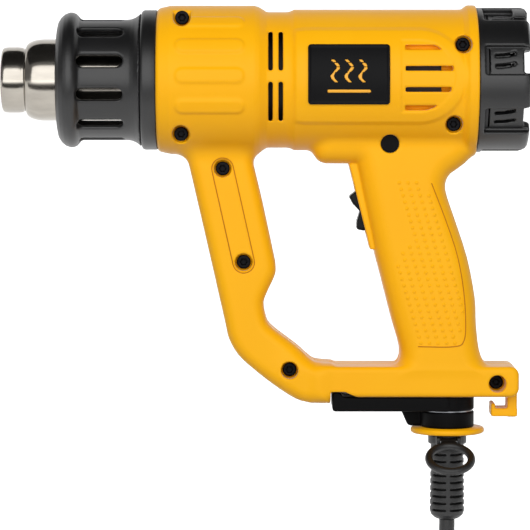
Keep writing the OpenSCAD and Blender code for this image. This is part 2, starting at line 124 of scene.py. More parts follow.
def lamp(name, place, aim, size, power):
    """A soft light of the given width and height at place, turned to face aim."""
    data = bpy.data.lights.new(name, "AREA")
    data.shape = "RECTANGLE"
    data.size, data.size_y = size
    data.energy = power
    obj = bpy.data.objects.new(name, data)
    obj.location = place
    obj.rotation_euler = (Vector(aim) - Vector(place)).to_track_quat("-Z", "Y").to_euler()
    bpy.context.scene.collection.objects.link(obj)


def studio():
    """A broad soft light in front and an even grey sky."""
    lamp("front", (-0.2, -1.9, 0.8), (-0.2, 0, 0.8), (3.0, 1.9), 48)
    world = bpy.data.worlds.new("studio")
    world.use_nodes = True
    sky = world.node_tree.nodes["Background"]
    sky.inputs["Color"].default_value = (1, 1, 1, 1)
    sky.inputs["Strength"].default_value = 0.27
    bpy.context.scene.world = world
    bpy.context.scene.view_settings.view_transform = "Standard"


# ---- Colour and materials ----
def linear(hex_colour):
    """An sRGB hex colour as linear red, green, blue and alpha."""
    parts = [int(hex_colour[i:i + 2], 16) / 255 for i in (1, 3, 5)]
    return tuple(p / 12.92 if p < 0.04045 else ((p + 0.055) / 1.055) ** 2.4 for p in parts) + (1.0,)


def add(tree, kind, settings=(), inputs=(), links=()):
    """Adds one node: settings are its own choices, inputs its fixed values, links what feeds it."""
    made = tree.nodes.new(kind)
    for key, value in dict(settings).items():
        setattr(made, key, value)
    for key, value in dict(inputs).items():
        made.inputs[key].default_value = value
    for key, socket in dict(links).items():
        tree.links.new(socket, made.inputs[key])
    return made


def material(name, **shader):
    """A material whose Principled shader has the given socket values; returns it, its tree and the shader."""
    mat = bpy.data.materials.new(name)
    mat.use_nodes = True
    tree = mat.node_tree
    surface = tree.nodes["Principled BSDF"]
    for key, value in shader.items():
        surface.inputs[key.replace("_", " ")].default_value = value
    return mat, tree, surface


def mottled(tree, surface, dark, light, patch_mm, place):
    """Base colour that drifts between two near tones over patches of the given size."""
    noise = add(tree, "ShaderNodeTexNoise", inputs={"Scale": 1 / (patch_mm * MM), "Detail": 3.0},
                links={"Vector": place})
    mix = add(tree, "ShaderNodeMix", {"data_type": "RGBA"}, {6: linear(dark), 7: linear(light)},
              {0: noise.outputs["Fac"]})
    tree.links.new(mix.outputs[2], surface.inputs["Base Color"])
    return noise


def rough_range(tree, surface, source, low, high):
    """Roughness that runs from low to high with a pattern's value."""
    spread = add(tree, "ShaderNodeMapRange", inputs={"To Min": low, "To Max": high}, links={"Value": source})
    tree.links.new(spread.outputs["Result"], surface.inputs["Roughness"])


def bumps(tree, surface, source, height_mm, strength):
    """A relief of the given height from a pattern's value."""
    relief = add(tree, "ShaderNodeBump", inputs={"Strength": strength, "Distance": height_mm * MM},
                 links={"Height": source})
    tree.links.new(relief.outputs["Normal"], surface.inputs["Normal"])


def moulded(name, dark, light, grain_mm, grain_height, roughness, shine=0.5, sheen=0.0):
    """Moulded plastic: two near tones, and the fine spark-eroded grain of the mould."""
    mat, tree, surface = material(name, Specular_IOR_Level=shine, Sheen_Weight=sheen, Sheen_Roughness=0.25)
    place = add(tree, "ShaderNodeTexCoord").outputs["Object"]
    drift = mottled(tree, surface, dark, light, 30, place)
    rough_range(tree, surface, drift.outputs["Fac"], roughness - 0.04, roughness + 0.04)
    grain = add(tree, "ShaderNodeTexNoise", inputs={"Scale": 1 / (grain_mm * MM), "Detail": 2.0},
                links={"Vector": place})
    bumps(tree, surface, grain.outputs["Fac"], grain_height, 0.5)
    return mat


def metal(name, dark, light, roughness, stretch, scratch_mm, strength=0.15):
    """Metal with fine drawn lines: noise stretched by stretch along each axis varies tone and gloss."""
    mat, tree, surface = material(name, Metallic=1.0)
    place = add(tree, "ShaderNodeTexCoord").outputs["Object"]
    lines = add(tree, "ShaderNodeMapping", inputs={"Scale": stretch}, links={"Vector": place})
    drift = mottled(tree, surface, dark, light, scratch_mm * 8, lines.outputs["Vector"])
    rough_range(tree, surface, drift.outputs["Fac"], roughness * 0.7, roughness * 1.3)
    fine = add(tree, "ShaderNodeTexNoise", inputs={"Scale": 1 / (scratch_mm * MM), "Detail": 2.0},
               links={"Vector": lines.outputs["Vector"]})
    bumps(tree, surface, fine.outputs["Fac"], 0.02, strength)
    return mat


def woven(name, dark, light, thread_mm):
    """Plain weave tape: its threads drawn as one set of fine diagonal waves."""
    mat, tree, surface = material(name, Roughness=0.85, Sheen_Weight=0.3)
    place = add(tree, "ShaderNodeTexCoord").outputs["Object"]
    mottled(tree, surface, dark, light, 3, place)
    scale = 1 / (thread_mm * MM) / 2
    wave = add(tree, "ShaderNodeTexWave", {"wave_type": "BANDS", "bands_direction": "DIAGONAL"},
               {"Scale": scale, "Distortion": 0.5}, {"Vector": place})
    bumps(tree, surface, wave.outputs["Fac"], 0.15, 0.8)
    return mat


def make_finishes():
    """Every finish of the tool, by name; each comment says what it gives the eye."""
    made = {}
    # Glass-filled nylon, moulded in a spark-eroded tool: warm yellow with a fine satin grain
    # (the real grain is about 0.2 mm; it is drawn at 0.7 mm so that it shows)
    made["yellow"] = moulded("yellow_nylon_moulded", "#FDB200", "#FFBA04", 0.7, 0.05, 0.46, 0.14, 0.5)
    # The same nylon darkened to a painted shade for its fine moulded lines: the dark colour stands in for the
    # shadow along each ledge
    made["line"] = moulded("yellow_nylon_painted_shade_line", "#B8700A", "#C47A10", 0.7, 0.05, 0.5, 0.14)
    # The same nylon in black: soft grey highlights on near-black
    made["black"] = moulded("black_nylon_moulded", "#0B0B0C", "#131314", 0.6, 0.05, 0.40)
    # Unpainted inner plastic: dark and matt, for what is seen through the vents
    made["inner"] = moulded("black_polyamide_inner", "#0E0E10", "#1A1A1C", 0.8, 0.05, 0.6)
    # The legs' tougher grade of nylon: flatter and darker than the rest
    made["leg"] = moulded("black_nylon_legs", "#050506", "#0A0A0B", 0.6, 0.05, 0.5, 0.06)
    # Polycarbonate rocker: smoother than the shells, so its edges catch the light
    made["switch"] = moulded("polycarbonate_rocker", "#060607", "#0B0B0C", 0.5, 0.02, 0.3, 0.12)
    # Extruded and moulded rubber: near-black, matt, faintly uneven
    made["rubber"] = moulded("neoprene_rubber_moulded", "#0B0B0C", "#141415", 0.5, 0.06, 0.48)
    # Deep-drawn stainless steel, polished round and warmed by heat
    made["nozzle"] = metal("stainless_steel_polished", "#827D76", "#ABA69D", 0.16, (0.25, 1, 1), 0.6, 0.03)
    # Black-oxide steel of the body screws: oily dark metal
    made["screw"] = metal("black_oxide_steel", "#101012", "#1C1C1E", 0.45, (1, 1, 1), 0.4)
    # Zinc-plated and ground steel: cool mid grey
    made["bright"] = metal("zinc_plated_steel", "#8E9196", "#B4B7BB", 0.32, (1, 1, 0.2), 0.4)
    # Sintered bronze bush: dull brown gold
    made["bronze"] = metal("sintered_bronze", "#7A5A2B", "#A07C40", 0.5, (1, 1, 1), 0.3)
    # Stamped brass tab: pale gold with rolled lines
    made["brass"] = metal("rolled_brass", "#A98B45", "#CDB066", 0.35, (0.2, 1, 1), 0.3)
    # Nickel-plated plug pin: bright, smooth
    made["pin"] = metal("nickel_plated_brass", "#B5B3AC", "#D6D4CD", 0.2, (1, 1, 0.2), 0.4)
    # Resistance wire after use: brown-grey oxide
    made["wire"] = metal("oxidised_nichrome", "#4A3F38", "#6E6056", 0.55, (1, 1, 1), 0.4)
    # Pressed mica and fired ceramic of the heater: pale, dry, chalky
    made["mica"] = moulded("pressed_mica", "#8D7A58", "#B7A27B", 1.2, 0.05, 0.55)
    made["ceramic"] = moulded("cordierite_ceramic", "#CFC8B8", "#E6E0D2", 0.8, 0.06, 0.75)
    # Solder mask, dipped film, moulded terminals and extruded wire jackets inside the grip
    made["board"] = moulded("solder_mask_epoxy", "#1C5A2C", "#2A7A3E", 1.5, 0.03, 0.35)
    made["capacitor"] = moulded("dipped_epoxy", "#233F78", "#31559A", 2.0, 0.03, 0.3)
    made["terminal"] = moulded("polyamide_natural", "#CFC9B6", "#E2DDCB", 0.8, 0.04, 0.5)
    made["jacket"] = moulded("silicone_wire_jacket", "#7E1F19", "#9A2B22", 0.6, 0.04, 0.5)
    made["tie"] = woven("nylon_hook_tape", "#141416", "#2A2A2D", 1.2)
    made["plate"] = moulded("polyester_plate_satin", "#0A0A0B", "#101012", 0.5, 0.02, 0.5, 0.08)
    made["mark"] = moulded("printed_yellow_ink", "#F2A60F", "#FBB41B", 0.6, 0.02, 0.45)
    made["room"] = moulded("white_paper_sweep", "#FFFFFF", "#FFFFFF", 20, 0.01, 0.9)
    lit = made["room"].node_tree.nodes["Principled BSDF"]
    lit.inputs["Emission Color"].default_value = (1, 1, 1, 1)
    lit.inputs["Emission Strength"].default_value = 1.0
    made["card"] = moulded("black_paper_card", "#020202", "#040404", 20, 0.01, 0.9)
    return made


# ---- Mesh helpers ----
def grid_faces(rows, cols, loop_rows=False, loop_cols=False):
    """Quads between neighbouring rows and columns of a grid of points, closed round where asked."""
    r, c = np.meshgrid(np.arange(rows if loop_rows else rows - 1),
                       np.arange(cols if loop_cols else cols - 1), indexing="ij")
    r2, c2 = (r + 1) % rows, (c + 1) % cols
    return np.stack([r * cols + c, r2 * cols + c, r2 * cols + c2, r * cols + c2], -1).reshape(-1, 4)


def piece(name, points, faces, finish, body, stands_for=(), smooth=True, merge=0.0):
    """Puts points (mm) and faces into a mesh that rides on a body; doubles within merge mm are joined."""
    mesh = bpy.data.meshes.new(name)
    points = np.asarray(points, float).reshape(-1, 3) * MM
    faces = np.asarray(faces)
    sides = faces.shape[1]
    mesh.vertices.add(len(points))
    mesh.vertices.foreach_set("co", points.ravel())
    mesh.loops.add(faces.size)
    mesh.loops.foreach_set("vertex_index", faces.ravel())
    mesh.polygons.add(len(faces))
    mesh.polygons.foreach_set("loop_start", np.arange(len(faces)) * sides)
    mesh.update(calc_edges=True)
    shape = bmesh.new()
    shape.from_mesh(mesh)
    if merge:
        bmesh.ops.remove_doubles(shape, verts=shape.verts, dist=merge * MM)
    bmesh.ops.recalc_face_normals(shape, faces=shape.faces)
    shape.to_mesh(mesh)
    shape.free()
    mesh.polygons.foreach_set("use_smooth", np.full(len(mesh.polygons), smooth))
    mesh.materials.append(finish)
    obj = bpy.data.objects.new(name, mesh)
    bpy.context.scene.collection.objects.link(obj)
    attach(obj, body)
    if stands_for:
        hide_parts(*stands_for)
    return obj


def softened(corners, radius, steps=4):
    """A closed outline with each corner turned into a short curve that starts radius before it."""
    p = np.array(corners, float)
    before, after = np.roll(p, 1, 0), np.roll(p, -1, 0)
    def towards(q):
        far = np.linalg.norm(q - p, axis=1, keepdims=True)
        return p + (q - p) * np.minimum(radius / np.maximum(far, 1e-9), 0.45)
    t = np.linspace(0, 1, steps + 1)[None, :, None]
    a, b = towards(before)[:, None], towards(after)[:, None]
    return ((1 - t) ** 2 * a + 2 * t * (1 - t) * p[:, None] + t ** 2 * b).reshape(-1, 2)


def turned(profile, steps=128):
    """A closed outline of (radius, x) points carried round the barrel: y = r cos a, z = axis + r sin a."""
    angle = np.linspace(0, 2 * math.pi, steps, endpoint=False)[:, None]
    r, x = profile[:, 0][None], profile[:, 1][None]
    points = np.stack([x + 0 * angle, r * np.cos(angle), AXIS_Z + r * np.sin(angle)], -1)
    return points, grid_faces(steps, len(profile), True, True)


def upright(profile, x, y=0.0, steps=96):
    """A closed outline of (radius, z) points carried round a vertical line at x, y."""
    angle = np.linspace(0, 2 * math.pi, steps, endpoint=False)[:, None]
    r, z = profile[:, 0][None], profile[:, 1][None]
    points = np.stack([x + r * np.cos(angle), y + r * np.sin(angle), z + 0 * angle], -1)
    return points, grid_faces(steps, len(profile), True, True)


def smooth_route(points, steps):
    """A Catmull-Rom curve through points with steps places on each span, its ends carried on straight."""
    p = np.array(points, float)
    p = np.vstack([2 * p[0] - p[1], p, 2 * p[-1] - p[-2]])
    t = (np.arange(steps) / steps)[None, :, None]
    a, b, c, d = (p[i:len(p) - 3 + i][:, None] for i in range(4))
    curve = 0.5 * (2 * b + (c - a) * t + (2 * a - 5 * b + 4 * c - d) * t ** 2
                   + (3 * b - a - 3 * c + d) * t ** 3)
    return np.vstack([curve.reshape(-1, p.shape[1]), p[-2]])


def tube(path, radius, sides=16):
    """A round tube along a path: each ring is square to the path, framed by the Y axis, ends closed."""
    path = np.array(path, float)
    heading = np.gradient(path, axis=0)
    heading /= np.linalg.norm(heading, axis=1, keepdims=True)
    u = np.cross(heading, [0.0, 1.0, 0.0])
    u /= np.linalg.norm(u, axis=1, keepdims=True)
    v = np.cross(heading, u)
    angle = np.linspace(0, 2 * math.pi, sides, endpoint=False)
    ring = radius * (u[:, None] * np.cos(angle)[None, :, None] + v[:, None] * np.sin(angle)[None, :, None])
    rings = path[:, None] + ring
    first, last = np.repeat(path[:1, None], sides, 1), np.repeat(path[-1:, None], sides, 1)
    closed = np.concatenate([first, rings, last])
    return closed, grid_faces(len(closed), sides, False, True)


def eased(t, start, span):
    """Runs smoothly from 0 at start to 1 at start + span."""
    s = np.clip((t - start) / span, 0, 1)
    return s * s * (3 - 2 * s)


# ---- Distance fields: moulded shapes that blend into each other in every direction ----
def join(a, b, blend=0.0):
    """The nearer of two distances, rounded into a fillet of about blend where they meet."""
    if not blend:
        return np.minimum(a, b)
    h = np.clip(0.5 + 0.5 * (b - a) / blend, 0, 1)
    return b + (a - b) * h - blend * h * (1 - h)


def meet(a, b, blend=0.0):
    """The farther of two distances, with a rounded edge of about blend."""
    return -join(-a, -b, blend)


def cut(a, b, blend=0.0):
    """Distance a with shape b taken away."""
    return meet(a, -b, blend)


def box_2d(x, z, centre, half, radius=0.0):
    """Distance to a rectangle with rounded corners: length of the overshoot past its inner rectangle."""
    dx = np.abs(x - centre[0]) - half[0] + radius
    dz = np.abs(z - centre[1]) - half[1] + radius
    return np.hypot(np.maximum(dx, 0), np.maximum(dz, 0)) + np.minimum(np.maximum(dx, dz), 0) - radius


def capsule_2d(x, z, a, b, radius):
    """Distance to a stadium: to the line from a to b, less its radius."""
    ex, ez = b[0] - a[0], b[1] - a[1]
    t = np.clip(((x - a[0]) * ex + (z - a[1]) * ez) / (ex * ex + ez * ez), 0, 1)
    return np.hypot(x - a[0] - t * ex, z - a[1] - t * ez) - radius


def outline_2d(x, z, outline):
    """Distance to a closed outline, negative inside: nearest side, signed by the count of crossings."""
    nearest, inside = np.inf, False
    for (ax, az), (bx, bz) in zip(outline, np.roll(outline, -1, 0)):
        ex, ez = bx - ax, bz - az
        t = np.clip(((x - ax) * ex + (z - az) * ez) / (ex * ex + ez * ez), 0, 1)
        nearest = np.minimum(nearest, (x - ax - t * ex) ** 2 + (z - az - t * ez) ** 2)
        if ez:
            inside = inside ^ (((az <= z) != (bz <= z)) & (x < ax + (z - az) * ex / ez))
    return np.sqrt(nearest) * np.where(inside, -1, 1)


def plate(flat, across, half, radius):
    """A flat shape given thickness 2 half in the across direction, its edges rounded by radius."""
    a, b = flat + radius, np.abs(across) - half + radius
    return np.hypot(np.maximum(a, 0), np.maximum(b, 0)) + np.minimum(np.maximum(a, b), 0) - radius


def skin(field, low, high, step, pulls=2):
    """Wraps the zero surface of a field: one point in each grid cell it crosses, then pulled onto it.

    A point starts at the mean of its cell's edge crossings and moves by -f grad f / |grad f|^2.
    A quad joins the four cells round each crossed edge, wound so that it faces outwards.
    """
    marks = [np.arange(a, b + step, step) for a, b in zip(low, high)]
    n = [len(m) for m in marks]
    value = np.broadcast_to(field(marks[0][:, None, None], marks[1][None, :, None], marks[2][None, None]), n)
    value = value.astype(np.float32)
    solid = value < 0
    cells = [k - 1 for k in n]
    total, count = np.zeros(cells + [3], np.float32), np.zeros(cells, np.float32)
    crossings = []
    for axis in range(3):
        lower = tuple(slice(0, -1) if d == axis else slice(None) for d in range(3))
        upper = tuple(slice(1, None) if d == axis else slice(None) for d in range(3))
        crossed = solid[lower] != solid[upper]
        where = np.argwhere(crossed)
        crossings.append((where, solid[lower][crossed]))
        a, b = value[lower][crossed], value[upper][crossed]
        at = np.stack([marks[d][where[:, d]] for d in range(3)], 1)
        at[:, axis] += step * a / (a - b)
        others = [d for d in range(3) if d != axis]
        for i in (0, 1):
            for j in (0, 1):
                cell = where.copy()
                cell[:, others[0]] -= i
                cell[:, others[1]] -= j
                keep = np.all((cell >= 0) & (cell < cells), axis=1)
                flat = np.ravel_multi_index(cell[keep].T, cells)
                count += np.bincount(flat, minlength=count.size).reshape(cells)
                for d in range(3):
                    total[..., d] += np.bincount(flat, at[keep, d], count.size).reshape(cells)
    used = count > 0
    index = np.full(cells, -1)
    index[used] = np.arange(used.sum())
    points = (total[used] / count[used][:, None]).astype(float)
    quads = []
    for axis, (where, outward) in enumerate(crossings):
        u, v = (axis + 1) % 3, (axis + 2) % 3
        ok = np.all([(where[:, d] > 0) & (where[:, d] < cells[d]) for d in (u, v)], axis=0)
        where, outward = where[ok], outward[ok]
        corners = []
        for du, dv in ((1, 1), (0, 1), (0, 0), (1, 0)):
            cell = where.copy()
            cell[:, u] -= du
            cell[:, v] -= dv
            corners.append(index[tuple(cell.T)])
        quad = np.stack(corners, 1)
        quad[~outward] = quad[~outward][:, ::-1]
        quads.append(quad)
    nudge = 0.05
    for _ in range(pulls):
        here = field(*points.T)
        slope = np.stack([(field(*(points + nudge * np.eye(3)[d]).T) - here) / nudge for d in range(3)], 1)
        move = -slope * (here / np.maximum((slope ** 2).sum(1), 0.2))[:, None]
        points += np.clip(move, -step / 2, step / 2)
    return points, np.concatenate(quads)


def wrapped(name, field, node, margin, step, finish, body):
    """Wraps a field in the space round a CAD node's box, and stands the piece in that node's place."""
    low, high = node_box(node)
    points, faces = skin(field, low - margin, high + margin, step)
    return piece(name, points, faces, finish, body, [node])


# ---- Body shells ----
BAR_HALF, GRIP_HALF, BASE_HALF = 14.5, 19.0, 18.5
FRONT_R, NECK_R, REAR_R, RIM_R = 38.4, 35.1, 36.4, 38.6
NECK_X, RIM_X = -79.5, 22.4
SWITCH_TILT = math.radians(13.3)
BOSS_PLUG = (-17.6, 63.0)
SCREWS = [(-124, 127.3, 15), (-124.5, 68, 19), (-103.4, 50, 9), (-92.6, 1.8, 9),
          (-68.9, -54, 9), (19, 113.5, 24), (14.7, 73, 21), (38.2, -60.8, 6)]
bar_outline = np.vstack([
    smooth_route([(-128, 82), (-125, 68), (-121.4, 54), (-111.8, 12.5), (-102.4, -29), (-100.3, -38),
                  (-95.5, -46.5), (-87.5, -54), (-77.5, -61.8), (-66, -69), (-58, -71.2)], 3),
    [(-47.8, -71.2), (-47.8, BASE_TOP)],
    smooth_route([(-52, BASE_TOP + 0.4), (-57.7, -48.9), (-65.5, -41.9), (-78.2, -32.2), (-81.2, -26.9),
                  (-82.3, -20.5), (-81.6, -16.6), (-78.8, -10.4), (-76.3, -4.6), (-76.1, 0), (-77.2, 6),
                  (-83, 33), (-88, 54), (-91, 68), (-94, 82)], 3)])
grip_outline = np.vstack([
    smooth_route([(-58, 84), (-58, 68), (-57.3, 60.5), (-56.7, 57.6), (-55.2, 55), (-53.2, 53.4),
                  (-50.5, 52.5)], 3),
    [(-34.8, 52.4), (-25, 7)],
    smooth_route([(-24.6, 5), (-20.9, -9), (-15.9, -28.5), (-11.6, -44), (-13, -52)], 3),
    [(-20, -60), (37, -60)],
    smooth_route([(32.5, -52), (29.3, -44), (27.6, -30), (27, -17), (22.9, 4), (16, 25), (11.5, 39),
                  (13, 46), (18, 50), (23, 54.2), (26, 60), (26, 84)], 3)])


def barrel_radius(x):
    """The barrel's radius along its length: a step down at the vented neck and up at the rear rim."""
    stations = [(FRONT_X, 36.1), (FRONT_X + 1.6, 37.2), (FRONT_X + 7, FRONT_R), (-87, FRONT_R), (-84.5, 37.6),
                (-82, 36), (-80.6, 35.2), (NECK_X, NECK_R), (-70.2, NECK_R), (-68.4, 35.5),
                (-66.6, REAR_R), (RIM_X - 3, REAR_R), (RIM_X, RIM_R), (REAR_X, RIM_R)]
    return np.interp(x, *zip(*stations))


def raised(distance, height, slope=0.7):
    """A pad's height above its surroundings: full inside, falling to nothing over slope."""
    return height * np.clip(0.5 - distance / slope, 0, 1)


def side_relief(x, z, side_angle):
    """What stands proud of the barrel's sides: finger pads in front, the plate's panel behind."""
    up = z - AXIS_Z
    relief = 0
    for centre in (-20.3, 3.3, 26.8, 50.3):
        arc = FRONT_R * (side_angle - math.radians(centre))
        relief = relief + raised(box_2d(x, arc, (-109.7, 0), (17.4, 3.7), 3.6), 0.9, 1.6)
    panel = capsule_2d(x, up, (-60, 2), (-3.5, 2), 24)
    panel = np.maximum(panel, -66.2 - x)
    window = np.maximum(capsule_2d(x, up, (-30, 2), (-3.5, 2), 18.3), -12.6 - x)
    return relief + raised(panel, 1.0, 1.8) - raised(window, 0.5)


def shell_outside(x, y, z):
    """The whole body as one field: barrel, bar, grip, base and hook, run together with fillets."""
    up = z - AXIS_Z
    reach = np.hypot(y, up)
    side_angle = np.arctan2(up, np.abs(y) + 1e-6)
    barrel = reach - barrel_radius(x) - side_relief(x, z, side_angle)
    barrel = meet(barrel, np.abs(x - (FRONT_X + REAR_X) / 2) - (REAR_X - FRONT_X) / 2, 1.2)
    bar_half = BAR_HALF + (BASE_HALF - BAR_HALF) * eased(x, -84, 28) * eased(-z, 40, 15)
    bar_half = bar_half - raised(capsule_2d(x, z, SCREWS[2][:2], SCREWS[3][:2], 5.6), 0.5, 0.9)
    bar = plate(outline_2d(x, z, bar_outline), y, bar_half, 6.5)
    grip = plate(outline_2d(x, z, grip_outline), y, GRIP_HALF, 11)
    strip = plate(outline_2d(x, z, [(-38.4, 52.4), (-27.3, 8.2), (-20, 8), (-30, 54)]), y, 11.5, 1)
    grip = join(grip, strip, 0.5)
    base = plate(box_2d(x, z, ((-56 + 49.4) / 2, (BASE_TOP + BASE_BOTTOM) / 2),
                        ((49.4 + 56) / 2, (BASE_TOP - BASE_BOTTOM) / 2), 4.6), y, BASE_HALF, 2.5)
    body = join(join(barrel, join(bar, base, 5), 7), grip, 3.5)
    return join(body, hook(x, y, z), 0.8)


def hook(x, y, z):
    """The small hook under the base's rear end: an upright, a foot and an upturned lip."""
    top, foot = BASE_BOTTOM + 2, BASE_BOTTOM - 11
    upright_bar = box_2d(x, z, (46.7, (top + foot) / 2), (2.5, (top - foot) / 2), 0.8)
    sole = box_2d(x, z, (42.5, foot + 2.1), (6.7, 2.1), 0.8)
    lip = box_2d(x, z, (36.9, foot + 4.6), (1.1, 2.2), 0.6)
    return plate(join(join(upright_bar, sole, 0.8), lip, 0.6), y, 8, 0.8)


def switch_frame(x, z):
    """Places measured along the switch's own tilted directions: inwards, and up its face."""
    dx, dz = x - SWITCH[0], z - SWITCH[2]
    return (dx * math.cos(SWITCH_TILT) + dz * math.sin(SWITCH_TILT) + 4.5,
            -dx * math.sin(SWITCH_TILT) + dz * math.cos(SWITCH_TILT))


def shell_cuts(x, y, z):
    """What is cut from the body: vents, the hollow behind them, screw wells, switch mouth and leg recess."""
    up, side = z - AXIS_Z, np.abs(y)
    reach = np.hypot(y, up)
    hollow = np.maximum(reach - barrel_radius(x) + 2.8, np.abs(x + 48) - 36)
    for well_x, well_z, _ in SCREWS:
        hollow = np.maximum(hollow, 6 - np.hypot(x - well_x, z - well_z))
    vents = 1e3
    for vent_x in (-78.8, -73.6):
        for low, high in ((4.8, 24.4), (-20.8, -0.9)):
            vents = np.minimum(vents, box_2d(x, up, (vent_x, (low + high) / 2), (1.15, (high - low) / 2), 1))
    louvres = 1e3
    for middle in (16.5, 5.9, -4.8, -14.1):
        louvres = np.minimum(louvres, box_2d(x, up, (6.5, middle), (17, 1.2), 0.3))
    louvres = np.maximum(np.maximum(louvres, capsule_2d(x, up, (-30, 2), (-3.5, 2), 17.6)), 27 - side)
    cuts = np.minimum(hollow, np.maximum(np.minimum(vents, louvres), 20 - side))
    for well_x, well_z, seat in SCREWS:
        bore = np.hypot(x - well_x, z - well_z) - 4.5
        cuts = np.minimum(cuts, np.maximum(bore, seat - side))
    top_x, top_z, seat = SCREWS[0]
    open_well = capsule_2d(x, z, (top_x, top_z), (top_x, top_z + 20), 4.5)
    cuts = np.minimum(cuts, np.maximum(open_well, seat - side))
    plug_hole = np.maximum(np.hypot(x - BOSS_PLUG[0], z - BOSS_PLUG[1]) - 4.75, GRIP_HALF - 3.6 - side)
    inwards, along = switch_frame(x, z)
    mouth = np.maximum(box_2d(inwards, along, (3, 0), (9, 12.8), 0.6), side - 8.8)
    notch = outline_2d(x, z, [(-47.7, BASE_BOTTOM - 9), (-47.7, BASE_BOTTOM + 2.8), (-40, BASE_BOTTOM + 2.8),
                              (-37.2, BASE_BOTTOM + 1.4), (-34.2, BASE_BOTTOM), (-34.2, BASE_BOTTOM - 9)])
    recess = np.maximum(np.maximum(notch, side - 40), -z - 75)
    pivot = np.maximum(np.hypot(x - PIVOT_X, y) - 9.2, z - BASE_BOTTOM - 3)
    for other in (plug_hole, mouth, recess, pivot):
        cuts = np.minimum(cuts, other)
    return cuts


def shell_half(side):
    """One moulded half: the body, less its cuts, on one side of the parting plane."""
    def field(x, y, z):
        body = shell_outside(x, y, z)
        return meet(cut(body, shell_cuts(x, y, z), 0.5), -side * y + 0.06, 0.35)
    return field


def shells(finish):
    """The left and right shells, wrapped from the same field on either side of the parting plane."""
    low, high = node_box("housing_left")
    low[2] -= 1
    for word, side in SIDES:
        near = (-39.6, 0.6) if side < 0 else (-0.6, 39.6)
        points, faces = skin(shell_half(side), (low[0] - 1, near[0], low[2] - 1),
                             (REAR_X + 25, near[1], high[2] + 1), 0.86)
        piece("shell_" + word, points, faces, finish["yellow"], "housing",
              ["housing_" + word])


def grip_bumps(finish):
    """Small domes in rows that lean with the grip: height h (1 - (d / r)^2) within r of each centre."""
    across, up, lean, radius, height = 4.4, 3.3, -0.98, 1.3, 0.5
    rows, cols = np.meshgrid(np.arange(-14, 15), np.arange(-12, 13), indexing="ij")
    x = (cols * across + rows * lean).ravel()
    z = (rows * up).ravel()
    left = np.interp(z, [-41, -38, -30, -20, -5, 1, 6, 14.5, 26, 38],
                     [-2, -3, -6, -9, -12, -15.5, -12, -7, -9.5, -15.7])
    right = np.interp(z, [-41, -38, -32, -24, -7, 9.5, 28, 45], [14.5, 18.7, 20.7, 20.7, 18.7, 14.5, 7, -1.2])
    keep = (np.abs(z - 2.1) < 43.1) & (x < right) & (x > left)
    x, z = x[keep], z[keep]
    ring = np.linspace(0, 2 * math.pi, 12, endpoint=False)
    reach = np.array([0, 0.45, 0.8, 1.0])[:, None] * radius
    px = x[:, None, None] + reach * np.cos(ring)
    pz = z[:, None, None] + reach * np.sin(ring)
    outwards = -0.3 + (height + 0.3) * (1 - (reach / radius) ** 2) + 0 * px
    grid = grid_faces(4, 12, False, True)
    for word, side in SIDES:
        points = np.stack([px, side * (grip_surface(px, pz) + outwards), pz], -1)
        faces = (grid[None] + 48 * np.arange(len(x))[:, None, None]).reshape(-1, 4)
        piece("grip_bumps_" + word, points, faces, finish["yellow"], "housing")


def edge_lines(finish):
    """Fine moulded lines on each side, behind the dimples and round the strip that links two wells; their darker
    finish is painted shade.
    """
    border = smooth_route([(3.8, 42.7), (11.2, 23.6), (17, 6.2), (20.3, -11), (21.6, -27.7), (20.7, -38.5),
                           (15.4, -41.4), (-2.9, -41.4)], 8)
    (top_x, top_z), (low_x, low_z) = SCREWS[2][:2], SCREWS[3][:2]
    lean = math.atan2(low_z - top_z, low_x - top_x)
    turn = lean - math.pi / 2 + np.linspace(0, math.pi, 16)
    low_end = np.stack([low_x + 5.6 * np.cos(turn), low_z + 5.6 * np.sin(turn)], 1)
    top_end = np.stack([top_x - 5.6 * np.cos(turn), top_z - 5.6 * np.sin(turn)], 1)
    strip = np.vstack([low_end, top_end, low_end[:1]])
    for name, route in (("grip_line", border), ("strip_line", strip)):
        for word, side in SIDES:
            y = side * (grip_surface(route[:, 0], route[:, 1]) + 0.05)
            points, faces = tube(np.stack([route[:, 0], y, route[:, 1]], 1), 0.28, 8)
            # the line finish is a darker yellow: painted shade along each line
            piece(name + "_" + word, points, faces, finish["line"], "housing", merge=0.005)


def grip_surface(x, z):
    """Half the body's thickness at x, z: the field is stepped inwards from the outside until it is met."""
    y = np.full(np.shape(x), 20.0)
    for _ in range(24):
        y = y - np.maximum(shell_outside(x, y, z), 0)
    return y


def screws(finish):
    """The body screws, one shape set in every well: a flat head with a six-lobed socket on a plain shank."""
    def field(x, y, z):
        reach, angle = np.hypot(x, z), np.arctan2(z, x)
        head = plate(reach - 3.6, y + 1.2, 1.2, 0.5)
        shank = np.maximum(reach - 1.9, np.abs(y - 8) - 9)
        socket = np.maximum(reach - 1.6 - 0.3 * np.cos(6 * angle), y + 0.8)
        return cut(np.minimum(head, shank), socket, 0.15)
    shape, faces = skin(field, (-4, -3, -4), (4, 17.6, 4), 0.4)
    points = np.array([shape + (x, -seat, z) for x, z, seat in SCREWS])
    faces = (faces[None] + len(shape) * np.arange(len(SCREWS))[:, None, None]).reshape(-1, 4)
    piece("body_screws", points, faces, finish["screw"], "housing", ["housing_screws"])


# ---- Nozzle, guard, collar and rear cap ----
def around(y, z, centre, pitch):
    """The angle in degrees from the nearest of a row of places round the barrel."""
    angle = np.degrees(np.arctan2(z - AXIS_Z, -y))
    return (angle - centre + pitch / 2) % pitch - pitch / 2


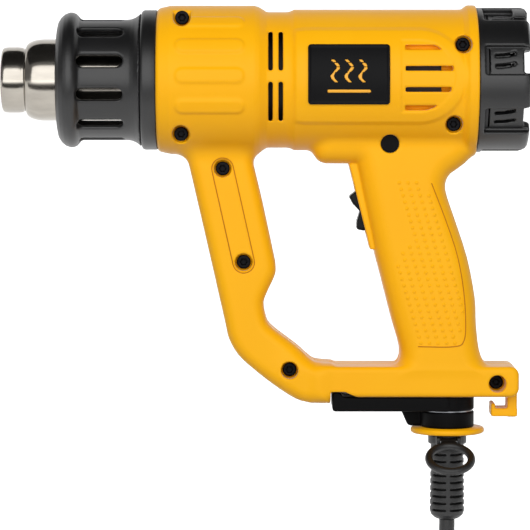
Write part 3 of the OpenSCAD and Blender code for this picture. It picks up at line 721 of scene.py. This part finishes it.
def nozzle(finish):
    """Polished nozzle: collar, crease and dome as one turned wall 1.2 mm thick."""
    outer = [(15.4, TIP_X), (16.3, TIP_X + 0.4), (16.9, TIP_X + 1.3), (17.1, TIP_X + 3.5),
             (17.1, TIP_X + 8.5), (16.9, TIP_X + 10.6), (16.3, TIP_X + 11.5), (16.6, TIP_X + 12.2)]
    start = TIP_X + 12.4
    dome = [(17.2 + 4.0 * math.sin(a), start + 9.6 * (1 - math.cos(a)))
            for a in np.linspace(0.1, math.pi / 2, 14)]
    back = [(21.2, -170), (21.2, -133.4), (22, -132.8), (28, -132.8), (28, -131.4), (20.0, -131.4)]
    inner = [(20.0, -190), (19.4, -197), (17.0, -203.6), (15.3, TIP_X + 11.4), (15.3, TIP_X + 1.2),
             (15.0, TIP_X + 0.4)]
    points, faces = turned(np.array(outer + dome + back + inner), 192)
    piece("nozzle_shell", points, faces, finish["nozzle"], "housing", ["nozzle"])


def guard_field(x, y, z):
    """Guard: a turned wall with a fat lip, and eleven long slots with soft edges."""
    reach = np.hypot(y, z - AXIS_Z)
    lip = [(21.7, GUARD_X + 0.6), (27.0, GUARD_X), (30.0, GUARD_X + 0.6), (32.4, GUARD_X + 2.1),
           (34.1, GUARD_X + 4.2), (34.9, GUARD_X + 6.6), (34.8, GUARD_X + 8.2), (34.1, GUARD_X + 9.8),
           (32.7, GUARD_X + 11.1), (31.5, GUARD_X + 12.0), (31.1, GUARD_X + 13.4), (31.1, GUARD_END - 7.4),
           (31.4, GUARD_END - 5.2), (32.3, GUARD_END - 3), (33.4, GUARD_END - 1.4), (34.7, GUARD_END),
           (28.5, GUARD_END), (28.5, -180), (21.7, -184)]
    wall = outline_2d(reach, x, np.array(lip))
    pitch = 360 / 11
    arc = 31.1 * np.radians(around(y, z, 19, pitch))
    slot = capsule_2d(x, arc, (-174.4, 0), (-157.6, 0), 3.4)
    return cut(wall, np.maximum(slot, 23 - reach), 0.9)


def cap_field(x, y, z):
    """Rear cap: seven lugs round a cup, with louvred windows and open notches between them."""
    reach = np.hypot(y, z - AXIS_Z)
    top = LUG_X
    body = outline_2d(reach, x, np.array([(17.2, 33.2), (17.2, top - 3.2), (28, top - 3.2), (28.6, top - 1),
                                          (30, top), (34.9, top), (36.7, top - 1.2), (37.3, top - 3.4),
                                          (37.3, REAR_X + 0.3), (37, REAR_X), (31.4, REAR_X), (31.4, 33.2)]))
    body = cut(body, plate(reach - 31.2, x - 45.6, 2.1, 0.3))
    angle = around(y, z, 16.5, 360 / 7)
    arc = reach * np.radians(angle)
    window = np.maximum(box_2d(x, arc, (41.6, 0), (11.4, 7.6), 0.8), 34.0 - reach)
    notch = np.maximum(box_2d(x, arc, (top + 4, 0), (7.4, 6.2), 1.2), 19 - reach)
    outer_cut = join(window, notch, 0.8)
    slit = np.maximum(box_2d(x, arc, (31.6, 0), (0.9, 6.6), 0.4), 30 - reach)
    louvres = 1e3
    for middle in (-2.6, 2.9):
        bend = arc - middle - 0.016 * (x - 36) ** 2
        louvres = np.minimum(louvres, box_2d(x, bend, (40.5, 0), (5.4, 1.0), 0.8))
    louvres = np.maximum(louvres, 30 - reach)
    cup = cut(cut(body, outer_cut, 0.8), np.minimum(slit, louvres), 0.3)
    top_window = np.abs(np.degrees(np.arctan2(z - AXIS_Z, -y)) - 67.9) - 9
    ribs = 1e3
    for radius in (31.9, 34.4, 36.9):
        ribs = np.minimum(ribs, np.abs(reach - radius) - 0.45)
    ribs = np.maximum(np.maximum(ribs, top_window * 0.6), np.abs(x - 48.5) - 3.4)
    return np.minimum(cup, ribs)


def round_parts(finish):
    """Wraps the guard and the rear cap, and turns the collar between guard and shells."""
    points, faces = skin(guard_field, (GUARD_X - 1.5, -36.5, AXIS_Z - 36.5),
                         (GUARD_END + 1, 36.5, AXIS_Z + 36.5), 0.85)
    piece("slotted_guard", points, faces, finish["black"], "guard", ["nozzle_guard"])
    points, faces = skin(cap_field, (REAR_X - 1, -39, AXIS_Z - 39), (LUG_X + 1, 39, AXIS_Z + 39), 0.75)
    piece("lugged_cap", points, faces, finish["black"], "housing", ["rear_cap"])
    ring = np.array([(24, COLLAR_X), (34.6, COLLAR_X), (35.3, COLLAR_X + 0.3), (35.8, COLLAR_X + 0.8),
                     (36.1, COLLAR_X + 1.8), (36.1, FRONT_X - 0.5),
                     (35.7, FRONT_X), (30.8, FRONT_X), (30.8, FRONT_X + 5.8), (24, FRONT_X + 5.8)])
    points, faces = turned(ring, 192)
    piece("collar_ring", points, faces, finish["black"], "housing", ["front_collar"])


# ---- Nameplates ----
def plate_half(arc, x):
    """Distance to the plate's outline: a rectangle with rounded corners."""
    return box_2d(x, arc, (-39.1, 3.0), (20.7, 15.0), 1.6)


def curved_sheet(flat, y, z, low, high, side):
    """A flat shape wrapped round the barrel between two radii on one side."""
    reach = np.hypot(y, z - AXIS_Z)
    across = np.abs(reach - (low + high) / 2) - (high - low) / 2
    d = meet(flat, across, 0.25)
    return np.maximum(d, -side * y)


def wave_mark(x, up):
    """Three rising wavy lines, a plain sign for heat, over a bar."""
    mark = box_2d(x, up, (-39.1, -5.4), (11, 0.8), 0.6)
    for k in (-7, 0, 7):
        middle = -39.1 + k + 1.5 * np.sin((up - 4) / 9 * 2 * math.pi)
        mark = np.minimum(mark, np.maximum(np.abs(x - middle) - 0.95, np.abs(up - 4.4) - 5.6))
    return mark


def nameplates(finish):
    """A dark plate on each side, its raised rim and its printed sign."""
    for word, side in SIDES:
        def dark(x, y, z):
            arc = REAR_R * np.arctan2(z - AXIS_Z, np.abs(y))
            d = plate_half(arc, x)
            body = curved_sheet(d, y, z, REAR_R - 0.2, REAR_R + 2.0, side)
            field = curved_sheet(d + 1.3, y, z, REAR_R + 1.6, REAR_R + 3, side)
            return cut(body, field, 0.15)

        def sign(x, y, z):
            arc = REAR_R * np.arctan2(z - AXIS_Z, np.abs(y))
            return curved_sheet(wave_mark(x, arc), y, z, REAR_R + 1.3, REAR_R + 1.78, side)
        near = (-38.5, -28) if side < 0 else (28, 38.5)
        layers = (("plate_" + word, dark, "plate", "nameplate", ["nameplate_" + word]),
                  ("sign_" + word, sign, "mark", "yellow_shell", []))
        for name, field, paint, slot_name, stands_for in layers:
            points, faces = skin(field, (-61.5, near[0], 81), (-16, near[1], 117), 0.45)
            piece(name, points, faces, finish[paint], "housing", stands_for)


# ---- Switch ----
def rocker(finish):
    """Rocker with two crowned pads and a hollow waist, its pin, and fine ridges across each pad."""
    outline = softened([(0, 0), (-2.6, 4.6), (-3.6, 8.6), (-0.2, 10.4), (3, 9.2), (7, 4.5),
                        (7, -4.5), (3, -9.2), (-0.2, -10.4), (-3.6, -8.6), (-2.6, -4.6)], 0.6, 4)

    def field(x, y, z):
        inwards, along = switch_frame(x, z)
        body = plate(outline_2d(inwards, along, outline), y, 6.5, 1.0)
        ridges = 0.18 * np.cos(2 * math.pi * along / 1.7) * np.clip(4 - inwards, 0, 1) * (np.abs(along) > 3)
        pin = np.maximum(np.hypot(inwards - 4.5, along) - 1.5, np.abs(y) - 7.9)
        return np.minimum(body + ridges * (np.abs(y) < 5.2), pin)
    wrapped("rocker_cap", field, "switch_rocker", 1, 0.4, finish["switch"], "rocker")


# ---- Stand, disc, strain relief and ring ----
def legs(finish):
    """The stand's two legs: hub, arm and raised tip, each one moulding with a hollow underside."""
    low = LEG_LOW[2]
    tip_x = LEG_LOW[0]
    top, tip_top = low + 7.5, LEG_HIGH[2]
    right_low = node_box("stand_leg_right")[0]
    tip = [(-41.2, top), (-42.8, tip_top), (tip_x, tip_top)]
    arms = {
        "left": [(tip_x, low), (PIVOT_X, low), (PIVOT_X, top)] + tip,
        "right": [(tip_x, low), (-11, low), (-7, right_low[2]), (PIVOT_X, right_low[2]),
                  (PIVOT_X, right_low[2] + 8.3), (-4, right_low[2] + 8.3), (-7.5, top)] + tip}
    for word, side, hub_low, half in (("left", -1, low, 3.75), ("right", 1, right_low[2], 4.15)):
        outline = softened(arms[word], 1.8, 4)

        def field(x, y, z):
            flat = outline_2d(x, z, outline)
            arm = plate(flat, y - side * 7.75, 6.75, 0.9)
            reach = np.hypot(x - PIVOT_X, y)
            hub = plate(reach - 13.8, z - hub_low - half, half, 0.7)
            pocket = np.maximum(np.maximum(box_2d(x, y, (-21, side * 7.75), (18, 4.4), 1), z - low - 5),
                                -z + low - 2)
            return cut(cut(join(arm, hub, 1.0), reach - 9.25, 0.3), pocket, 0.5)
        wrapped("leg_" + word + "_moulding", field, "stand_leg_" + word, 1, 0.6, finish["leg"],
                "leg_" + word)


def disc(finish):
    """The yellow retaining disc with a rounded rim, and the sleeve that the legs turn on."""
    low, high = node_box("retaining_disc")
    bottom = low[2]
    outline = np.array([(7.2, bottom), (18.4, bottom), (19.0, bottom + 0.5), (19.2, bottom + 1.4),
                        (19.0, bottom + 2.4), (18.4, bottom + 2.9), (9, bottom + 2.9), (9, high[2]),
                        (7.2, high[2])])
    points, faces = upright(outline, PIVOT_X)
    piece("disc_and_sleeve", points, faces, finish["yellow"], "housing", ["retaining_disc"])


def relief_field(x, y, z):
    """Strain relief: a rubber sleeve, slit from front and back and, half a pitch lower, from both sides."""
    top, end, pitch = RELIEF_HIGH[2], RELIEF_LOW[2], 3.65
    dx = x - PIVOT_X
    reach = np.hypot(dx, y)
    radius = np.interp(z, [end, end + 0.6, end + 2.2, end + 4.4, -94, -88.4, -87.9, top],
                       [5.4, 6.6, 8.3, 9.0, 8.6, 8.6, 7.0, 7.0])
    body = np.maximum(reach - radius, np.abs(z - (top + end) / 2) - (top - end) / 2)
    step = (z + 97) % pitch - pitch / 2
    side_step = (z + 97 + pitch / 2) % pitch - pitch / 2
    within = np.abs(z + 112.5) - 16
    angle = np.degrees(np.arctan2(np.abs(y), np.abs(dx)))
    front = np.maximum(np.abs(step) - 0.5, 6.4 - reach)
    front = np.maximum(front, np.maximum(1.1 - np.abs(dx), (28 - angle) * 0.15))
    sides = np.maximum(np.maximum(np.abs(side_step) - 0.6, 7.2 - reach), (angle - 20) * 0.15)
    slits = np.maximum(np.minimum(front, sides), within)
    return cut(np.maximum(body, 4.2 - reach), slits, 0.35)


def relief_parts(finish):
    """Strain relief, the collar with its two ears, and the swinging hang ring."""
    rubber = finish["rubber"]
    wrapped("relief_sleeve", relief_field, "strain_relief", 0.7, 0.42, rubber, "housing")

    def collar(x, y, z):
        reach = np.hypot(x - PIVOT_X, y)
        band = plate(reach - 10, z + 91.15, 2.45, 0.8)
        ears = plate(box_2d(y, z, (RING_PIN[1] + 1.6, RING_PIN[2] + 0.5), (3.3, 2.3), 1.6),
                     np.abs(x - PIVOT_X) - 5.3, 1, 0.3)
        return cut(join(band, ears, 0.8), reach - 8.65, 0.2)
    wrapped("ring_band", collar, "ring_collar", 0.8, 0.42, rubber, "housing")

    tilt = math.radians(29)

    def ring(x, y, z):
        out = -(y - RING_PIN[1]) * math.cos(tilt) - (z - RING_PIN[2]) * math.sin(tilt)
        lift = -(y - RING_PIN[1]) * math.sin(tilt) + (z - RING_PIN[2]) * math.cos(tilt)
        dx = x - PIVOT_X
        loop = np.hypot(np.hypot(dx, out - 14.8) - 10.9, lift) - 2
        stem = plate(box_2d(dx, out, (0, 2.2), (3.6, 2.2), 0.8), lift, 1.5, 0.6)
        knuckle = np.maximum(np.hypot(out, lift) - 1.9, np.abs(dx) - 4)
        return cut(join(join(loop, stem, 1.2), knuckle, 0.5), np.hypot(out, lift) - 1.0)
    wrapped("swing_ring", ring, "hang_ring", 0.8, 0.42, rubber, "ring")


# ---- Mains cord, its plug and tie ----
def cord_path():
    """Down from the strain relief, four outer turns, three inner ones, and down again to the plug.

    The turns lie side by side a cord's width apart; each steps across within the last part of its turn.
    """
    coil_low, coil_high = node_box("cord_coil")
    middle_z = (coil_low[2] + coil_high[2]) / 2
    lead = smooth_route([(13.5, 0, -133), (13.5, 0, -136.5), (13.5, 0, -140), (14.3, -0.9, -148.9),
                         (16.6, -3.2, -157.4), (20.3, -6.1, -165.5), (25.4, -9.1, -172.8),
                         (31.7, -11.3, -179.1), (39, -12.2, -184.2)], 4)[:-1]
    turn = np.linspace(0, 7 + 1 / 6, 260)
    width = 8.13
    across = -1.5 * width
    across = across + width * sum(eased(turn, k + 0.8, 0.2) for k in range(3))
    across = across - width * sum(eased(turn, k + 4.3, 0.25) for k in range(3))
    across = across - 7.3 * eased(turn, 6.9, 0.26)
    radius = 51 - 8 * eased(turn, 3.55, 0.25)
    angle = math.radians(60) - 2 * math.pi * turn
    turns = np.stack([PIVOT_X + radius * np.cos(angle), across, middle_z + radius * np.sin(angle)], 1)
    tail = smooth_route([(56.5, -20.2, -236), (56.5, -20.4, -244), (56.5, -20.4, -252), (56.5, -20.4, -260),
                         (56.5, -20.4, -268), (56.5, -20.4, -276)], 2)
    return np.vstack([lead, turns, tail])


def plug_and_tie(finish):
    """A round moulded plug with a ribbed sleeve and two pins, and the tape that holds the coil."""
    low, high = node_box("plug_body")
    x, y = (low[0] + high[0]) / 2, (low[1] + high[1]) / 2
    top = high[2]
    sleeve = [(5.6 - 0.5 * (k % 2), top - 0.3 - 1.1 * k) for k in range(10)]
    shell = [(8.5, top - 13), (13, top - 24), (17.4, top - 28), (17.5, top - 30), (17.5, top - 40.4),
             (16, top - 42), (0, top - 42)]
    outline = softened([(0, top)] + sleeve + shell, 0.6, 3)
    points, faces = upright(outline, x, y)
    body = piece("plug_moulding", points, faces, finish["rubber"], "housing", ["plug_body"],
                 merge=0.005)
    pins_low, pins_high = node_box("plug_pins")
    both = []
    for place in (pins_low[0] + 2.4, pins_high[0] - 2.4):
        tip = pins_low[2]
        shape = np.array([(0, top - 41.5), (2.4, top - 41.5), (2.4, tip + 1.4), (2.0, tip + 0.5), (1.2, tip),
                          (0, tip)])
        both.append(upright(shape, place, y, 32))
    points = np.concatenate([p.reshape(-1, 3) for p, _ in both])
    faces = np.concatenate([both[0][1], both[1][1] + both[0][0].reshape(-1, 3).shape[0]])
    pins = piece("plug_contacts", points, faces, finish["pin"], "housing", ["plug_pins"],
                 merge=0.005)

    low, high = node_box("cord_tie")
    middle = (low + high) / 2
    half = (high - low) / 2

    def band(px, py, pz):
        flat = box_2d(py, pz, middle[1:], half[1:], 3)
        strap = meet(np.maximum(flat, -flat - 1.1), np.abs(px - middle[0]) - half[0], 0.3)
        buckle = box_2d(px, py, (middle[0], -7), (half[0], 5), 1)
        buckle = plate(buckle, pz - middle[2] - half[2] + 0.5, 0.5, 0.3)
        return np.minimum(strap, buckle)
    tie = wrapped("coil_tie", band, "cord_tie", 0.6, 0.5, finish["tie"], "housing")
    return [body, pins, tie]


def mains_cord(finish):
    """The free cord with its plug, contacts and tie."""
    path = cord_path()
    points, faces = tube(path, 4.05, 20)
    lead = piece("mains_lead", points, faces, finish["rubber"], "housing",
                 ["cord_lead", "cord_coil", "cord_tail"], merge=0.005)
    plug_and_tie(finish)


# ---- Finishes for the parts that keep their plain solids ----
def dress(finish):
    """Gives each remaining solid the finish of its slot."""
    by_slot = {"yellow_shell": "yellow", "black_plastic": "black", "dark_plastic": "inner",
               "switch_plastic": "switch", "nameplate": "plate", "nozzle_steel": "nozzle",
               "black_steel": "screw", "bright_steel": "bright", "motor_steel": "bright",
               "bronze": "bronze", "brass_tab": "brass", "plated_brass": "pin", "black_rubber": "rubber",
               "mica": "mica", "ceramic": "ceramic", "heater_wire": "wire", "circuit_board": "board",
               "capacitor_film": "capacitor", "terminal_plastic": "terminal", "wire_jacket": "jacket",
               "tie_strap": "tie"}
    for part in frame["record"]["subparts"]:
        mesh = frame["nodes"][part["node"]].data
        mesh.materials.clear()
        # The plugs are the same deep black as the legs
        plain = "leg" if part["node"] == "boss_plugs" else by_slot[part["material_slot"]]
        mesh.materials.append(finish[plain])


def room(finish):
    """A white floor well below the cord and a white wall behind."""
    floor_z, wall_y, half, curve = cad_low[2] - 0.01, 5.0, 12.5, 1.9
    turn = np.linspace(0, math.pi / 2, 12)
    rise = [(wall_y - curve + curve * math.sin(a), floor_z + curve * (1 - math.cos(a))) for a in turn]
    bend = [(-half, floor_z)] + rise + [(wall_y, 9.4)]
    points = np.array([[(x, y, z) for y, z in bend] for x in (-half, half)])
    mesh = bpy.data.meshes.new("sweep")
    mesh.from_pydata(points.reshape(-1, 3).tolist(), [], grid_faces(2, len(bend)).tolist())
    mesh.materials.append(finish["room"])
    for face in mesh.polygons:
        face.use_smooth = True
    obj = bpy.data.objects.new("sweep", mesh)
    obj.visible_diffuse = False
    bpy.context.scene.collection.objects.link(obj)
    obj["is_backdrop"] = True


def cards(finish):
    """Two dark cards, overhead and low in front, seen only by gloss: they draw the bands in the steel."""
    overhead = [(-1.6, -0.95, 1.3), (1.6, -0.95, 1.3), (1.6, 0.8, 1.3), (-1.6, 0.8, 1.3)]
    low_front = [(-1.6, -0.8, -0.07), (1.6, -0.8, -0.07), (1.6, -0.8, -0.34), (-1.6, -0.8, -0.34)]
    for name, corners in (("card_overhead", overhead), ("card_low", low_front)):
        mesh = bpy.data.meshes.new(name)
        mesh.from_pydata(corners, [], [(0, 1, 2, 3)])
        mesh.materials.append(finish["card"])
        obj = bpy.data.objects.new(name, mesh)
        for kind in ("camera", "diffuse", "transmission", "shadow", "volume_scatter"):
            setattr(obj, "visible_" + kind, False)
        bpy.context.scene.collection.objects.link(obj)
        obj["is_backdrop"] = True


finishes = make_finishes()
camera()
mains_cord(finishes)
studio()
room(finishes)
cards(finishes)
dress(finishes)
shells(finishes)
grip_bumps(finishes)
edge_lines(finishes)
screws(finishes)
nozzle(finishes)
round_parts(finishes)
nameplates(finishes)
rocker(finishes)
legs(finishes)
disc(finishes)
relief_parts(finishes)
